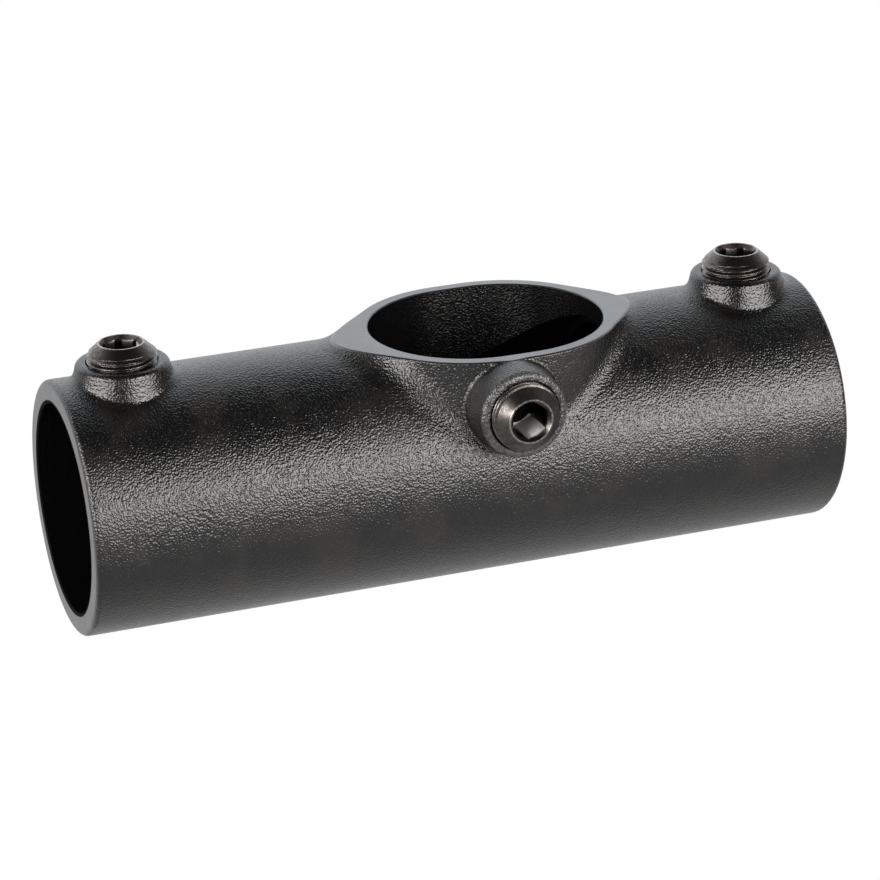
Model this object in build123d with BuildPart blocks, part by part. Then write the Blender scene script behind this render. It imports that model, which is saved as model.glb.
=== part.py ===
"""Clamp tee for 48.3 mm round tube, for handrails on slopes: one casting and three socket set screws.

The sleeve lies along X and takes a tube in each end. The collar on top takes the upright, which stands
along Z or leans towards +X by up to the lean angle. A set screw holds each of the three tubes.
The origin is on the sleeve's axis at mid-length. Sizes are in millimetres and degrees.
"""

import os
from math import radians, tan

from build123d import *

os.makedirs("parts", exist_ok=True)

# Sockets
tube_outside = 48.3
tube_play = 1.7  # a socket is wider than its tube by this
sleeve_wall = 5.6
sleeve_length = 189.0
end_rounding = 1.3  # outer edge of each end face
mouth_chamfer = 0.3  # inner edge of each mouth

# Collar round the upright
upright_place = 8.6  # from mid-length towards +X
lean_angle = 11.0
lean_centre_drop = 3.9  # the lean turns about a point this far below the sleeve's axis
collar_wall = 3.4
collar_stand = 0.7  # from the sleeve's crest up to the collar's face
collar_fillet = 10.0
leaning_fillet = 6.0  # on the side that leans over the sleeve
fillet_change = 1.5  # past the upright's axis, where one fillet gives way to the other
collar_edge = 0.5

# Room on the side that the upright leans to, where the sleeve's core is wider than the sockets
room_play = 2.4  # wider all round than a socket by this
room_margin = 1.5  # past the leaning upright

# Screw bosses
end_boss_margin = 5.6  # from an end face to the edge of the boss's face
end_boss_stand = 4.2  # from the sleeve's crest up to the boss's face
end_boss_radius = 10.9
end_boss_draft = 14.0
end_boss_fillet = 2.5
front_boss_drop = 11.4  # from the collar's face down to its axis
front_boss_stand = 5.4  # from the sleeve's side out to the boss's face
front_boss_radius = 10.6
front_boss_draft = 5.0
front_boss_fillet = 0.8
boss_edge = 1.4

# Set screws, with a plain shank of the thread's outer size
thread_outside = 16.66
thread_clearance = 0.05  # all round the shank
thread_lead_in = 0.3  # countersink of each tapped hole
screw_length = 14.0
screw_rim_radius = 5.4
key_across_flats = 8.0
key_play = 0.2
key_depth = 9.5  # of the flats, below the countersink
countersink_depth = 1.5
screw_rim_width = 0.3  # flat ring between the outer bevel and the countersink
point_chamfer = 2.2
cup_radius = 5.2
cup_depth = 1.0

# Each screw stands out of its boss's face, and its socket is turned, as it was last left
left_screw_stand, left_screw_turn = 4.5, 85.0
right_screw_stand, right_screw_turn = 5.1, 51.0
front_screw_stand, front_screw_turn = 4.0, 25.0

bore_radius = (tube_outside + tube_play) / 2
sleeve_radius = bore_radius + sleeve_wall
collar_radius = bore_radius + collar_wall
collar_face = sleeve_radius + collar_stand
screw_radius = thread_outside / 2
tapped_radius = screw_radius + thread_clearance
socket_radius = (key_across_flats + key_play) / 2
end_boss_place = sleeve_length / 2 - end_boss_margin - end_boss_radius

# The face of each boss, with the axis of its screw as the plane's normal
left_boss = Plane((-end_boss_place, 0, sleeve_radius + end_boss_stand))
right_boss = Plane((end_boss_place, 0, sleeve_radius + end_boss_stand))
front_boss = Plane(
    origin=(upright_place, -sleeve_radius - front_boss_stand, collar_face - front_boss_drop),
    x_dir=(1, 0, 0),
    z_dir=(0, -1, 0),
)


def leaning_slot(radius, top):
    """The room that a round bar needs to stand upright or to lean, up to the given height."""
    upright = Plane((upright_place, 0, -lean_centre_drop))
    leaning = upright.rotated((0, lean_angle, 0))
    reach = 2 * (top + lean_centre_drop)
    with BuildPart() as slot:
        with BuildSketch(upright):
            Circle(radius)
            Rectangle(radius, 2 * radius, align=(Align.MAX, Align.CENTER), mode=Mode.INTERSECT)
        extrude(amount=reach)
        with BuildSketch(leaning):
            Circle(radius)
            Rectangle(radius, 2 * radius, align=(Align.MIN, Align.CENTER), mode=Mode.INTERSECT)
        extrude(amount=reach)
        with BuildSketch(Plane(origin=upright.origin, x_dir=(1, 0, 0), z_dir=(0, -1, 0))):
            with BuildLine():
                Polyline(
                    (0, 0),
                    (0, reach),
                    (reach * leaning.z_dir.X, reach * leaning.z_dir.Z),
                    close=True,
                )
            make_face()
        extrude(amount=radius, both=True)
        split(bisect_by=Plane.XY.offset(top), keep=Keep.BOTTOM)
    return slot.part


def raise_boss(face, radius, draft, height, root_fillet):
    """A boss below the given face, wider towards the wall that it grows from, on the part being built."""
    with Locations(face):
        Cone(
            radius + height * tan(radians(draft)),
            radius,
            height,
            align=(Align.CENTER, Align.CENTER, Align.MAX),
        )
    flank = faces().filter_by(GeomType.CONE).sort_by_distance(face.origin)[0]
    root = flank.edges().filter_by(
        lambda edge: edge.geom_type not in (GeomType.CIRCLE, GeomType.LINE)
    )
    fillet(root, root_fillet)
    rims = edges().filter_by(GeomType.CIRCLE)
    fillet(rims.sort_by(lambda edge: (edge.arc_center - face.origin).length)[0], boss_edge)


def collared_sleeve(root_fillet):
    """The solid sleeve with its solid collar, which is raised past its fillet."""
    with BuildPart() as body:
        with BuildSketch(Plane.YZ):
            Circle(sleeve_radius)
        extrude(amount=sleeve_length / 2, both=True)
        fillet(body.edges().filter_by(GeomType.CIRCLE), end_rounding)
        add(leaning_slot(collar_radius, collar_face + collar_fillet))
        root = body.edges(Select.LAST).filter_by(lambda edge: edge.bounding_box().max.Z < collar_face)
        fillet(root, root_fillet)
    return body.part


with BuildPart() as casting:
    # The two fillets meet where the collar's wall runs almost straight down into the sleeve's
    meeting = Plane.YZ.offset(upright_place + fillet_change)
    for root_fillet, side in ((collar_fillet, Keep.BOTTOM), (leaning_fillet, Keep.TOP)):
        split(collared_sleeve(root_fillet), bisect_by=meeting, keep=side, mode=Mode.ADD)
    raise_boss(
        front_boss,
        front_boss_radius,
        front_boss_draft,
        front_boss_stand + sleeve_wall,
        front_boss_fillet,
    )

    # The front boss's root reaches over the collar's edge, so the collar is faced after it
    split(bisect_by=Plane.XY.offset(collar_face), keep=Keep.BOTTOM)
    fillet(casting.edges().group_by(Axis.Z)[-1], collar_edge)
    for face in (left_boss, right_boss):
        raise_boss(
            face,
            end_boss_radius,
            end_boss_draft,
            end_boss_stand + sleeve_wall,
            end_boss_fillet,
        )

    # Sockets for the three tubes, and the room that the leaning upright's foot swings into
    with BuildSketch(Plane.YZ):
        Circle(bore_radius)
    extrude(amount=sleeve_length / 2, both=True, mode=Mode.SUBTRACT)
    add(leaning_slot(bore_radius, collar_face + collar_stand), mode=Mode.SUBTRACT)
    with BuildSketch(Plane.YZ.offset(upright_place)):
        Circle(bore_radius + room_play)
        with Locations((0, -lean_centre_drop)):
            Rectangle(
                sleeve_length, sleeve_length, align=(Align.CENTER, Align.MIN), mode=Mode.INTERSECT
            )
    lean_reach = (collar_face + lean_centre_drop) * tan(radians(lean_angle))
    extrude(amount=bore_radius + lean_reach + room_margin, mode=Mode.SUBTRACT)
    faced = casting.faces().filter_by(lambda face: face.is_planar and face.inner_wires())
    chamfer([wire.edges() for face in faced for wire in face.inner_wires()], mouth_chamfer)

    with Locations(left_boss, right_boss, front_boss):
        CounterSinkHole(
            tapped_radius,
            tapped_radius + thread_lead_in,
            depth=bore_radius,
            counter_sink_angle=90,
        )

casting.part.label = "casting"
export_step(casting.part, "parts/casting.step")


def set_screw(name, face, stand, turn):
    """A socket set screw with a cup point, standing out of its boss's face, on the face's axis."""
    top = face.offset(stand)
    point = top.offset(-screw_length)
    with BuildPart() as screw:
        with BuildSketch(top):
            Circle(screw_radius)
        extrude(amount=-screw_length)
        rings = screw.edges().filter_by(GeomType.CIRCLE)
        point_edge, rim_edge = rings.sort_by(Axis(point.origin, face.z_dir))
        chamfer(rim_edge, screw_radius - screw_rim_radius)
        chamfer(point_edge, point_chamfer)
        with Locations(top):
            Cone(
                socket_radius,
                screw_rim_radius - screw_rim_width,
                countersink_depth,
                align=(Align.CENTER, Align.CENTER, Align.MAX),
                mode=Mode.SUBTRACT,
            )
        with BuildSketch(top):
            RegularPolygon(socket_radius, 6, major_radius=False, rotation=turn)
        extrude(amount=-countersink_depth - key_depth, mode=Mode.SUBTRACT)
        with Locations(point):
            Cone(
                cup_radius,
                cup_radius - cup_depth,
                cup_depth,
                align=(Align.CENTER, Align.CENTER, Align.MIN),
                mode=Mode.SUBTRACT,
            )
    screw.part.label = name
    export_step(screw.part, f"parts/{name}.step")


set_screw("left_set_screw", left_boss, left_screw_stand, left_screw_turn)
set_screw("right_set_screw", right_boss, right_screw_stand, right_screw_turn)
set_screw("front_set_screw", front_boss, front_screw_stand, front_screw_turn)
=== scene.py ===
"""The dressed model of a clamp tee for round tube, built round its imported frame.

The frame gives the casting and the three set screws in metres: the sleeve lies along X, and the collar's
mouth faces +Z. The casting keeps its frame mesh under a black coat, and the screws get real threads.
"""

from math import cos, pi, radians, sin, tan

import bpy
from mathutils import Matrix, Vector


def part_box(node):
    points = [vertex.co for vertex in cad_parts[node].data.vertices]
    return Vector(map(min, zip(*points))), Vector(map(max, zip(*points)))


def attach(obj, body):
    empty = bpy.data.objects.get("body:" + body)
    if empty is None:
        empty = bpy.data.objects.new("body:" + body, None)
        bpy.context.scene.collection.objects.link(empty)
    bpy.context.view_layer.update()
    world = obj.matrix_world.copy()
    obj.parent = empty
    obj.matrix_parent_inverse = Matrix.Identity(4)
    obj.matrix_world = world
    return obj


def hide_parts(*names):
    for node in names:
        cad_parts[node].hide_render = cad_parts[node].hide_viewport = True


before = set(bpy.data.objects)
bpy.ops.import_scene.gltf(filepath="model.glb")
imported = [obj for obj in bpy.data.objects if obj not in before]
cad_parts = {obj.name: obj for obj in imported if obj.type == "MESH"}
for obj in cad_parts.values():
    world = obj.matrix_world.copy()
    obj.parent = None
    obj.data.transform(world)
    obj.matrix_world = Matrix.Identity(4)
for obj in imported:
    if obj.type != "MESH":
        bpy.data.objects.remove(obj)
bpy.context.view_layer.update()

mm = 0.001


# ---- Casting
# The casting is malleable iron, cast in sand as one piece: sleeve, collar and bosses. Its ends, the
# collar's mouth and the bosses' faces are cut flat, and then the whole piece is coated in glossy black,
# which lets the grain of the sand show through everywhere but on the cut faces.

bore_radius = 25 * mm
upright_place = 8.6 * mm
lean_slope = tan(radians(11))
lean_centre_drop = 3.9 * mm
collar_face = 31.3 * mm
collar_reach = 62 * mm  # the end bosses stand further out than this
end_boss_place = 78 * mm
end_boss_root = 12.8 * mm
front_boss_face = 36 * mm  # out from the sleeve's axis
front_screw_height = 19.9 * mm
screw_hole_rim = 8.7 * mm
cut_skin = 0.3 * mm  # the finish of a cut face reaches this far over its edge

sand_grain = 0.47 * mm
grain_height = 0.21 * mm
coarse_grain = 1.1 * mm
coarse_height = 0.05 * mm
skin_ripple = 9 * mm
ripple_height = 0.16 * mm
coat_patch = 14 * mm
highlight_speck_size = 1.2 * mm
coat_roughness = 0.29
# Painted shade inside the bores, lighter in a band where the coat's glints show, and a little darkening
# on the end bosses
inside_painted_shade = 0.95
boss_dullness = 0.15
glint = 0.3
glint_place = 17 * mm
glint_width = 16 * mm

coat_black = (0.0022, 0.0022, 0.0024, 1)
coat_thin = (0.011, 0.009, 0.0075, 1)
coat_cut = (0.008, 0.008, 0.0085, 1)
# the painted highlight specks on the ring round the front screw's hole
painted_highlight_grey = (0.07, 0.068, 0.065, 1)
# the near-black of the painted shade in the bores and round the front screw's hole
painted_shade_colour = (0.003, 0.003, 0.003, 1)


class Wire:
    """An output in a node tree, or the tree alone. Arithmetic adds Math nodes, and node() any other."""

    def __init__(self, tree, socket=None):
        self.tree = tree
        self.socket = socket

    def node(self, kind, settings=None, inputs=None, output=0):
        """Adds a node, sets its settings and then its inputs, and returns one of its outputs."""
        made = self.tree.nodes.new(kind)
        for name, value in (settings or {}).items():
            setattr(made, name, value)
        for key, value in (inputs or {}).items():
            into = made.inputs[key] if isinstance(key, int) else first_enabled(made.inputs, key)
            if isinstance(value, Wire):
                self.tree.links.new(value.socket, into)
            else:
                into.default_value = value
        if isinstance(output, str):
            return Wire(self.tree, first_enabled(made.outputs, output))
        return Wire(self.tree, made.outputs[output])

    def math(self, operation, *others):
        """A Math node that takes this wire first, and then the others."""
        return self.node("ShaderNodeMath", {"operation": operation}, dict(enumerate((self, *others))))

    def __add__(self, other):
        return self.math("ADD", other)

    def __sub__(self, other):
        return self.math("SUBTRACT", other)

    def __rsub__(self, other):
        return self.node("ShaderNodeMath", {"operation": "SUBTRACT"}, {0: other, 1: self})

    def __mul__(self, other):
        return self.math("MULTIPLY", other)

    def __truediv__(self, other):
        return self.math("DIVIDE", other)

    def __mod__(self, other):
        return self.math("FLOORED_MODULO", other)

    def __abs__(self):
        return self.math("ABSOLUTE")

    __radd__ = __add__
    __rmul__ = __mul__


def first_enabled(sockets, name):
    """The socket in use of that name, where a node has one for each type of value."""
    return next(socket for socket in sockets if socket.name == name and socket.enabled)


def new_material(name):
    """A new material, the start of its wires, and its Principled shader."""
    made = bpy.data.materials.new(name)
    made.use_nodes = True
    return made, Wire(made.node_tree), made.node_tree.nodes["Principled BSDF"]


def feed(shader, **sources):
    """Links wires to the shader's sockets, named in small letters with underscores."""
    for name, wire in sources.items():
        wire.tree.links.new(wire.socket, shader.inputs[name.replace("_", " ").title()])


def blend_surface(material, share, shader, other):
    """Makes the material's surface a mix, from its shader at a share of 0 to the other at 1."""
    tree = material.node_tree
    principled = Wire(tree, shader.outputs[0])
    mixed = share.node("ShaderNodeMixShader", inputs={0: share, 1: principled, 2: other})
    tree.links.new(mixed.socket, tree.nodes["Material Output"].inputs["Surface"])


def rise(value, low, high):
    """0 below low and 1 above high, and smooth between them."""
    return value.node(
        "ShaderNodeMapRange",
        {"interpolation_type": "SMOOTHSTEP"},
        {"Value": value, "From Min": low, "From Max": high},
    )


def near(value, place, width):
    """1 at the place, and 0 from the width away."""
    return 1 - rise(abs(value - place), width / 2, width)


def distance(across, along):
    """The distance from the axis that both directions are square to."""
    return (across * across + along * along).math("SQRT")


def noise(place, size, detail=2.0, roughness=0.5):
    """A cloudy pattern whose lumps are about as wide as size, round one half."""
    return place.node(
        "ShaderNodeTexNoise",
        inputs={"Vector": place, "Scale": 1 / size, "Detail": detail, "Roughness": roughness},
    )


def mix_colours(amount, low, high):
    """From the low colour at 0 to the high one at 1."""
    return amount.node(
        "ShaderNodeMix", {"data_type": "RGBA"}, {"Factor": amount, "A": low, "B": high}, "Result"
    )


def coordinates(place):
    """X, Y and Z of a place, as three wires."""
    apart = place.tree.nodes.new("ShaderNodeSeparateXYZ")
    place.tree.links.new(place.socket, apart.inputs[0])
    return [Wire(place.tree, socket) for socket in apart.outputs]


def bumps(height):
    """The normal of a surface with that height, in metres."""
    return height.node("ShaderNodeBump", inputs={"Strength": 1.0, "Distance": 1.0, "Height": height})


casting_low, casting_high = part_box("casting")
coat, start, shader = new_material("black_coat")
place = start.node("ShaderNodeTexCoord", output="Object")
along, across, up = coordinates(place)

# The cut faces
ends = near(abs(along), casting_high.x, cut_skin)
past_collar = rise(abs(along), collar_reach, collar_reach + mm)
collar_top = near(up, collar_face, cut_skin) * (1 - past_collar)
cut = ends.math("MAXIMUM", collar_top)
cast = 1 - cut

# The insides. The collar's bore is a slot for an upright that stands, or leans towards +X.
from_axis = distance(across, up)
above_centre = up + lean_centre_drop
nearest_lean = start.node(
    "ShaderNodeClamp",
    inputs={"Value": along - upright_place, "Min": 0.0, "Max": above_centre * lean_slope},
)
from_upright = distance(along - upright_place - nearest_lean, across)
in_sleeve = 1 - rise(from_axis, bore_radius + 0.7 * mm, bore_radius + 1.0 * mm)
in_collar = 1 - rise(from_upright, bore_radius + 1.1 * mm, bore_radius + 1.4 * mm)
in_collar = in_collar * (1 - collar_top) * rise(above_centre, -1.1 * mm, -0.1 * mm)

# The end bosses, on top of the sleeve, and the front one's face: a ring of painted highlight specks round
# its hole, with painted shade inside that ring
from_boss = distance(abs(along) - end_boss_place, across)
on_boss = 1 - rise(from_boss, end_boss_root - 0.4 * mm, end_boss_root + 0.4 * mm)
on_boss = on_boss * rise(up, 20 * mm, 25 * mm)
front_face = 1 - rise(across + front_boss_face, 0.8 * mm, 1.2 * mm)
from_screw = distance(along - upright_place, up - front_screw_height)
# Just round the hole the face gets painted shade, as a dark ring
front_hole_shade = front_face * (1 - rise(from_screw, screw_hole_rim - 0.1 * mm, screw_hole_rim + 0.2 * mm))
# The lighter specks on the ring round the hole are painted highlights
front_ring_highlight = front_face * rise(from_screw, screw_hole_rim + 0.1 * mm, screw_hole_rim + 0.4 * mm)
front_ring_highlight = front_ring_highlight * rise(noise(place, highlight_speck_size), 0.3, 0.6)

# The sand's grain is strongest in the collar's bore, weaker on the end bosses and faint on cut faces
height = noise(place, sand_grain, 0.7, 0.4) * grain_height
height = height + noise(place, coarse_grain, 2, 0.5) * coarse_height
height = height * (cast * 0.85 + 0.15 + in_collar * 0.3 - on_boss * 0.4)
height = height + noise(place, skin_ripple, 1, 0.5) * ripple_height

patches = rise(noise(place, coat_patch, 3, 0.6), 0.4, 0.7)
colour = mix_colours(patches, coat_black, coat_thin)
colour = mix_colours(cut, colour, coat_cut)
colour = mix_colours(front_ring_highlight, colour, painted_highlight_grey)
feed(
    shader,
    base_color=colour,
    roughness=coat_roughness + patches * 0.05 - on_boss * 0.05,
    normal=bumps(height),
    coat_weight=collar_top * 0.4 + ends * 0.15,
)
shader.inputs["Specular IOR Level"].default_value = 1.0
shader.inputs["Coat Roughness"].default_value = 0.3

# Painted shade: the bores and the rim of the front screw's hole are mixed towards a near-black dull
# surface, less so in a band on the collar's wall where the coat's glints show, and the end bosses are
# darkened a little by the same mix
inside = in_sleeve.math("MAXIMUM", in_collar).math("MAXIMUM", front_hole_shade)
glints = near(along, glint_place, glint_width) * (1 - in_sleeve)
painted_shade_share = inside * (inside_painted_shade - glints * glint)
painted_shade_share = painted_shade_share.math("MAXIMUM", on_boss * boss_dullness)
# the near-black dull surface of the painted shade
painted_shade_surface = start.node("ShaderNodeBsdfDiffuse", inputs={"Color": painted_shade_colour})
blend_surface(coat, painted_shade_share, shader, painted_shade_surface)

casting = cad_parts["casting"]
casting.data.materials.clear()
casting.data.materials.append(coat)


# ---- Set screws
# Each is a cup-point socket set screw of steel, blackened with oxide: a rolled pipe thread, a long bevel
# down from the rim, and a hexagon socket with a countersunk mouth. Handling has worn the rim and the
# crests of the thread bright. The socket is painted near black as shade, and one of its walls light grey
# as a painted highlight.

crest_radius = 8.33 * mm
key_half_width = 4.1 * mm
screw_sizes = {
    "Screw Radius": crest_radius,
    "Length": 14.0 * mm,
    "Pitch": 1.337 * mm,
    "Thread Depth": 0.86 * mm,
    "Thread Start": 0.50,
    "Rim Radius": 5.4 * mm,
    "Rim Width": 0.3 * mm,
    "Bevel Slope": 1.1,
    "Point Chamfer": 2.2 * mm,
    "Cup Radius": 5.2 * mm,
    "Cup Depth": 1.0 * mm,
    "Key Half Width": key_half_width,
    "Countersink Slope": 1.5,
    "Socket Depth": 11.0 * mm,
    "Drill Point": 0.05 * mm,
}
socket_turns = {"left": 85, "right": 51, "front": 25}  # in degrees, as each was last left
steps_around = 144
steps_per_stage = {
    "cup floor": 1,
    "cup wall": 1,
    "point": 1,
    "shank": 260,
    "rim": 1,
    "countersink": 3,
    "socket": 2,
    "drill": 1,
}
# The one socket wall that is painted light grey, as a painted highlight
painted_lit_wall = 4.5  # its middle, in sixths of a turn
half_wall = 0.505  # from there, past its corners

turning_mark = 0.16 * mm
mark_height = 0.008 * mm
pit_size = 0.5 * mm
pit_height = 0.012 * mm
mottle_size = 1.1 * mm
worn_rim_width = 0.16 * mm
rim_patch = 0.7 * mm
crest_patch = 0.9 * mm
steel_roughness = 0.28
screw_oxide = (0.165, 0.150, 0.141, 1)
screw_dark = (0.085, 0.077, 0.072, 1)
screw_bright = (0.42, 0.39, 0.36, 1)
# the painted shade inside the socket
socket_painted_shade = (0.020, 0.020, 0.020, 1)
lit_wall_painted_grey = (0.75, 0.75, 0.75, 1)

steel, start, shader = new_material("blackened_steel")
place = start.node("ShaderNodeTexCoord", output="Object")
out = start.node("ShaderNodeAttribute", {"attribute_name": "out_from_axis"}, output="Fac")
down = start.node("ShaderNodeAttribute", {"attribute_name": "down_from_rim"}, output="Fac")
# the wall of the socket that gets the painted highlight
painted_light_share = start.node("ShaderNodeAttribute", {"attribute_name": "painted_lit_wall"}, output="Fac")

# Painted shade: the socket below its mouth is painted near black
keyway = 1 - rise(out, key_half_width + 0.6 * mm, key_half_width + 0.8 * mm)
keyway = keyway * rise(down, 0.8 * mm, 1.6 * mm)
# The painted highlight: one wall of the socket is light grey, dull and not metallic
painted_light_share = painted_light_share * keyway * rise(out, key_half_width - 0.12 * mm, key_half_width - 0.02 * mm)
mottle = rise(noise(place, mottle_size, 3, 0.6), 0.35, 0.7)
rim_wear = near(down, 0, worn_rim_width) * rise(noise(place, rim_patch), 0.3, 0.55)
crest_wear = rise(out, crest_radius - 0.28 * mm, crest_radius - 0.03 * mm)
crest_wear = crest_wear * rise(noise(place, crest_patch), 0.38, 0.62) * 0.5
colour = mix_colours(mottle, screw_oxide, screw_dark)
colour = mix_colours(rim_wear.math("MAXIMUM", crest_wear), colour, screw_bright)
# painted shade in the socket, then the painted highlight on its one lit wall
colour = mix_colours(keyway, colour, socket_painted_shade)
colour = mix_colours(painted_light_share, colour, lit_wall_painted_grey)

ring = start.node("ShaderNodeCombineXYZ", inputs={"X": out, "Y": down})
height = noise(ring, turning_mark, 3, 0.6) * mark_height + noise(place, pit_size, 2) * pit_height
feed(
    shader,
    base_color=colour,
    metallic=1 - painted_light_share,
    roughness=steel_roughness + mottle * 0.1 + painted_light_share * 0.5,
    normal=bumps(height * (1 - keyway * 0.95)),
)


def set_screw_tree():
    """One surface from the middle of the cup point, out, up the thread and down into the socket."""
    tree = bpy.data.node_groups.new("set_screw", "GeometryNodeTree")
    for name, size in screw_sizes.items():
        asked = tree.interface.new_socket(name, in_out="INPUT", socket_type="NodeSocketFloat")
        asked.default_value = size
    tree.interface.new_socket("Surface", in_out="OUTPUT", socket_type="NodeSocketGeometry")
    start = Wire(tree)
    given = tree.nodes.new("NodeGroupInput").outputs
    (
        radius, length, pitch, depth, thread_start, rim, rim_width, bevel,
        chamfer, cup, cup_depth, key, slope, socket_depth, drill,
    ) = (Wire(tree, given[name]) for name in screw_sizes)

    # A flat grid: across it is the turn about the axis, and up it are the stages of the outline
    rows = sum(steps_per_stage.values())
    surface = start.node(
        "GeometryNodeMeshGrid",
        inputs={
            "Size X": 1.0,
            "Size Y": float(rows),
            "Vertices X": steps_around + 1,
            "Vertices Y": rows + 1,
        },
    )
    turn, row, _ = coordinates(start.node("GeometryNodeInputPosition"))
    turn = turn + 0.5
    row = row + rows / 2
    stages = {}
    begun = 0
    for name, steps in steps_per_stage.items():
        stages[name] = start.node("ShaderNodeClamp", inputs={"Value": (row - begun) / steps})
        begun += steps

    # The hexagon's wall is nearest to the axis half way between two corners
    sixth = (turn * 6) % 1.0 - 0.5
    wall = key / (sixth * (pi / 3)).math("COSINE")
    inner_rim = rim - rim_width
    sink = (inner_rim - wall) * slope

    # The thread is cut short by the bevel below the rim and by the chamfer above the point
    from_rim = length * (1 - stages["shank"])
    winding = (from_rim / pitch + turn - thread_start) * (2 * pi)
    thread = radius - depth * (0.5 - 0.5 * winding.math("COSINE"))
    thread = thread.math("MINIMUM", rim + from_rim * bevel)
    point = radius - chamfer
    thread = thread.math("MINIMUM", point + length - from_rim)

    out = (
        (cup - cup_depth) * stages["cup floor"]
        + cup_depth * stages["cup wall"]
        + (point - cup) * stages["point"]
        + (thread - point)
        - rim_width * stages["rim"]
        + (wall - inner_rim) * stages["countersink"]
        - wall * stages["drill"]
    )
    down = (
        length
        - cup_depth * (1 - stages["cup wall"])
        - length * stages["shank"]
        + sink * stages["countersink"]
        + (socket_depth - sink) * stages["socket"]
        + drill * stages["drill"]
    )
    on_painted_lit_wall = abs(turn * 6 - painted_lit_wall).math("LESS_THAN", half_wall)
    for name, wire in (("out_from_axis", out), ("down_from_rim", down), ("painted_lit_wall", on_painted_lit_wall)):
        surface = start.node(
            "GeometryNodeStoreNamedAttribute",
            {"data_type": "FLOAT", "domain": "POINT"},
            {"Geometry": surface, "Name": name, "Value": wire},
        )

    angle = turn * (2 * pi)
    bent = start.node(
        "ShaderNodeCombineXYZ",
        inputs={"X": out * angle.math("COSINE"), "Y": out * angle.math("SINE"), "Z": 0 - down},
    )
    surface = start.node("GeometryNodeSetPosition", inputs={"Geometry": surface, "Position": bent})
    surface = start.node(
        "GeometryNodeMergeByDistance", inputs={"Geometry": surface, "Distance": 0.001 * mm}
    )
    surface = start.node("GeometryNodeRealizeInstances", inputs={"Geometry": surface})
    surface = start.node("GeometryNodeSetMaterial", inputs={"Geometry": surface, "Material": steel})
    tree.links.new(surface.socket, tree.nodes.new("NodeGroupOutput").inputs["Surface"])
    return tree


def threaded_screw(name, tree, placement):
    """The tree's screw as a plain mesh, placed by its rim."""
    carrier = bpy.data.objects.new(name + "_carrier", bpy.data.meshes.new(name + "_carrier"))
    bpy.context.scene.collection.objects.link(carrier)
    carrier.modifiers.new("set_screw", "NODES").node_group = tree
    bpy.context.view_layer.update()
    mesh = bpy.data.meshes.new_from_object(carrier.evaluated_get(bpy.context.evaluated_depsgraph_get()))
    bpy.data.objects.remove(carrier)
    mesh.name = name
    mesh.transform(placement)
    mesh.shade_smooth()
    mesh.set_sharp_from_angle(angle=radians(38))
    screw = bpy.data.objects.new(name, mesh)
    bpy.context.scene.collection.objects.link(screw)
    return screw


tree = set_screw_tree()
for side, socket_turn in socket_turns.items():
    node = side + "_set_screw"
    low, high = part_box(node)
    middle = (low + high) / 2
    if side == "front":
        rim_centre = Vector((middle.x, low.y, middle.z))
        facing = Matrix.Rotation(radians(90), 4, "X")
    else:
        rim_centre = Vector((middle.x, middle.y, high.z))
        facing = Matrix.Identity(4)
    placement = Matrix.Translation(rim_centre) @ facing @ Matrix.Rotation(radians(socket_turn), 4, "Z")
    screw = threaded_screw(side + "_threaded_screw", tree, placement)
    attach(screw, side + "_screw")
    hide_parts(node)


# ---- Studio
# The fitting lies on white paper, with a wide, low soft box on each side of the camera and a pale wall
# behind, under a dark ceiling. The camera sees the paper and the wall as plain white. As light on the
# piece, the wall is dimmer on the left, and the paper shines only where the coat mirrors it.

floor_half = 4.0
paper_colour = (0.72, 0.72, 0.72, 1)
paper_glow_front = 0.39
paper_glow_back = 0.81
wall_glow = 1.4
ceiling_glow = 0.01
wall_tint = (0.92, 0.96, 1, 1)
lamp_colour = (1.0, 0.975, 0.95)
lamp_radiance = 7.2
lamp_distance = 1.3
lamp_elevations = (3.5, 28)

floor_mesh = bpy.data.meshes.new("floor")
floor_mesh.from_pydata(
    [(x * floor_half, y * floor_half, casting_low.z) for x, y in ((-1, -1), (1, -1), (1, 1), (-1, 1))],
    [],
    [(0, 1, 2, 3)],
)
floor = bpy.data.objects.new("floor", floor_mesh)
bpy.context.scene.collection.objects.link(floor)

paper, start, shader = new_material("floor_paper")
shader.inputs["Base Color"].default_value = paper_colour
shader.inputs["Roughness"].default_value = 0.9
shader.inputs["Specular IOR Level"].default_value = 0.0
ray = start.tree.nodes.new("ShaderNodeLightPath").outputs
seen = Wire(start.tree, ray["Is Camera Ray"])
mirrored = Wire(start.tree, ray["Is Glossy Ray"]) + Wire(start.tree, ray["Is Transmission Ray"])
aside, back, _ = coordinates(start.node("ShaderNodeTexCoord", output="Object"))
far = rise(distance(aside, back), 0.3, 0.6)
near_or_behind = 1 - far * (1 - rise(back, 0.0, 0.3))
glow = paper_glow_front + rise(back, -0.04, -0.005) * (paper_glow_back - paper_glow_front)
white = start.node(
    "ShaderNodeEmission",
    inputs={"Color": (1, 1, 1, 1), "Strength": seen + mirrored * glow * near_or_behind},
)
blend_surface(paper, seen + mirrored, shader, white)
floor_mesh.materials.append(paper)


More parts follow.
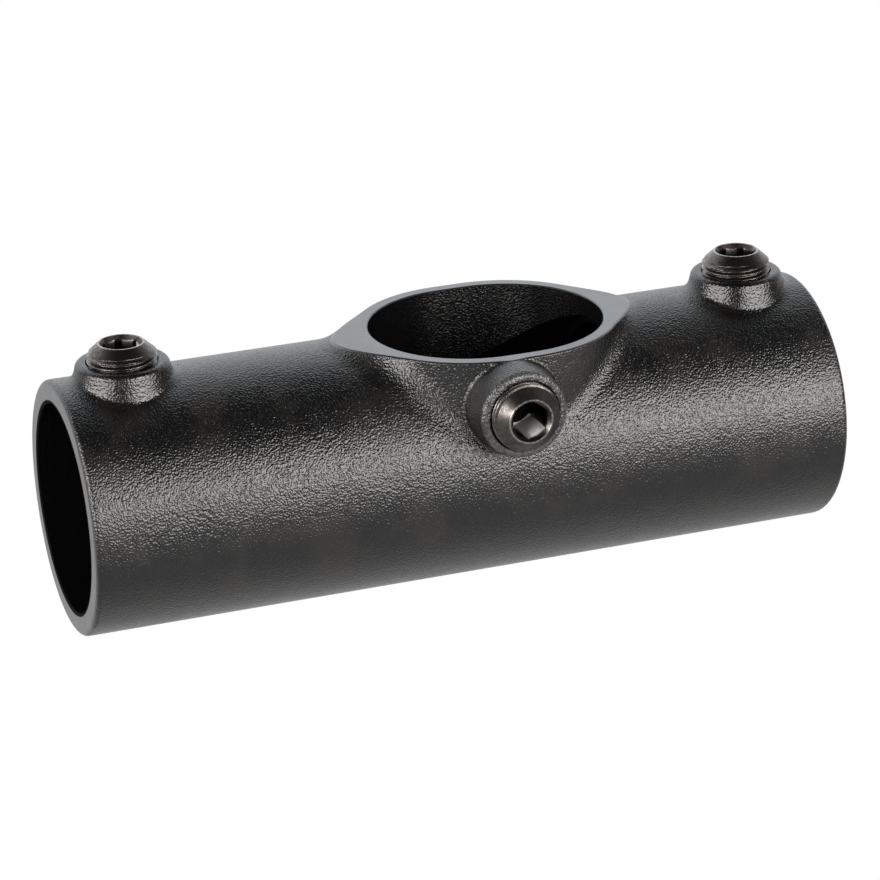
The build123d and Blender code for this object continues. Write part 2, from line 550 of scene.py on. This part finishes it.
def soft_box(name, azimuths):
    """A lamp that fills a range of directions. Azimuth 0 is along -Y, and 90 along +X."""
    turn, climb = (radians(sum(pair) / 2) for pair in (azimuths, lamp_elevations))
    width, height = (
        2 * lamp_distance * tan(radians(high - low) / 2) for low, high in (azimuths, lamp_elevations)
    )
    data = bpy.data.lights.new(name, "AREA")
    data.shape = "RECTANGLE"
    data.size = width
    data.size_y = height
    data.energy = pi * width * height * lamp_radiance
    data.color = lamp_colour
    lamp = bpy.data.objects.new(name, data)
    bpy.context.scene.collection.objects.link(lamp)
    away = Vector((sin(turn) * cos(climb), -cos(turn) * cos(climb), sin(climb)))
    lamp.location = away * lamp_distance
    lamp.rotation_euler = away.to_track_quat("Z", "Y").to_euler()


soft_box("right_lamp", (-1, 57))
soft_box("left_lamp", (-98, -42))

world = bpy.data.worlds.new("studio")
bpy.context.scene.world = world
world.use_nodes = True
background = world.node_tree.nodes["Background"]
start = Wire(world.node_tree)
seen = start.node("ShaderNodeLightPath", output="Is Camera Ray")
aside, away, up = coordinates(start.node("ShaderNodeTexCoord", output="Generated"))
wall = rise(away, -0.2, 0.9) * (1 - rise(up, 0.68, 0.94)) * (0.4 + rise(aside, -0.8, -0.45) * 0.6)
feed(
    background,
    strength=seen + (1 - seen) * (ceiling_glow + wall * wall_glow),
    color=mix_colours(seen, wall_tint, (1, 1, 1, 1)),
)

view_azimuth, view_elevation, view_roll = radians(18.987), radians(21.781), radians(-1.783)
view_distance = 883.3 * mm
looking = Vector((
    sin(view_azimuth) * cos(view_elevation), cos(view_azimuth) * cos(view_elevation), -sin(view_elevation)
))
level_right = Vector((cos(view_azimuth), -sin(view_azimuth), 0))
level_up = level_right.cross(looking)
right = level_right * cos(view_roll) + level_up * sin(view_roll)
upward = level_up * cos(view_roll) - level_right * sin(view_roll)

camera_data = bpy.data.cameras.new("camera")
camera_data.sensor_width = 36
camera_data.lens = 148.6293
camera_data.shift_x = -0.001517
camera_data.shift_y = 0.009381
camera_data.clip_start = 0.05
camera = bpy.data.objects.new("camera", camera_data)
bpy.context.scene.collection.objects.link(camera)
bpy.context.scene.camera = camera
camera.matrix_world = Matrix((right, upward, -looking)).transposed().to_4x4()
camera.location = -looking * view_distance

bpy.context.scene.view_settings.view_transform = "Standard"
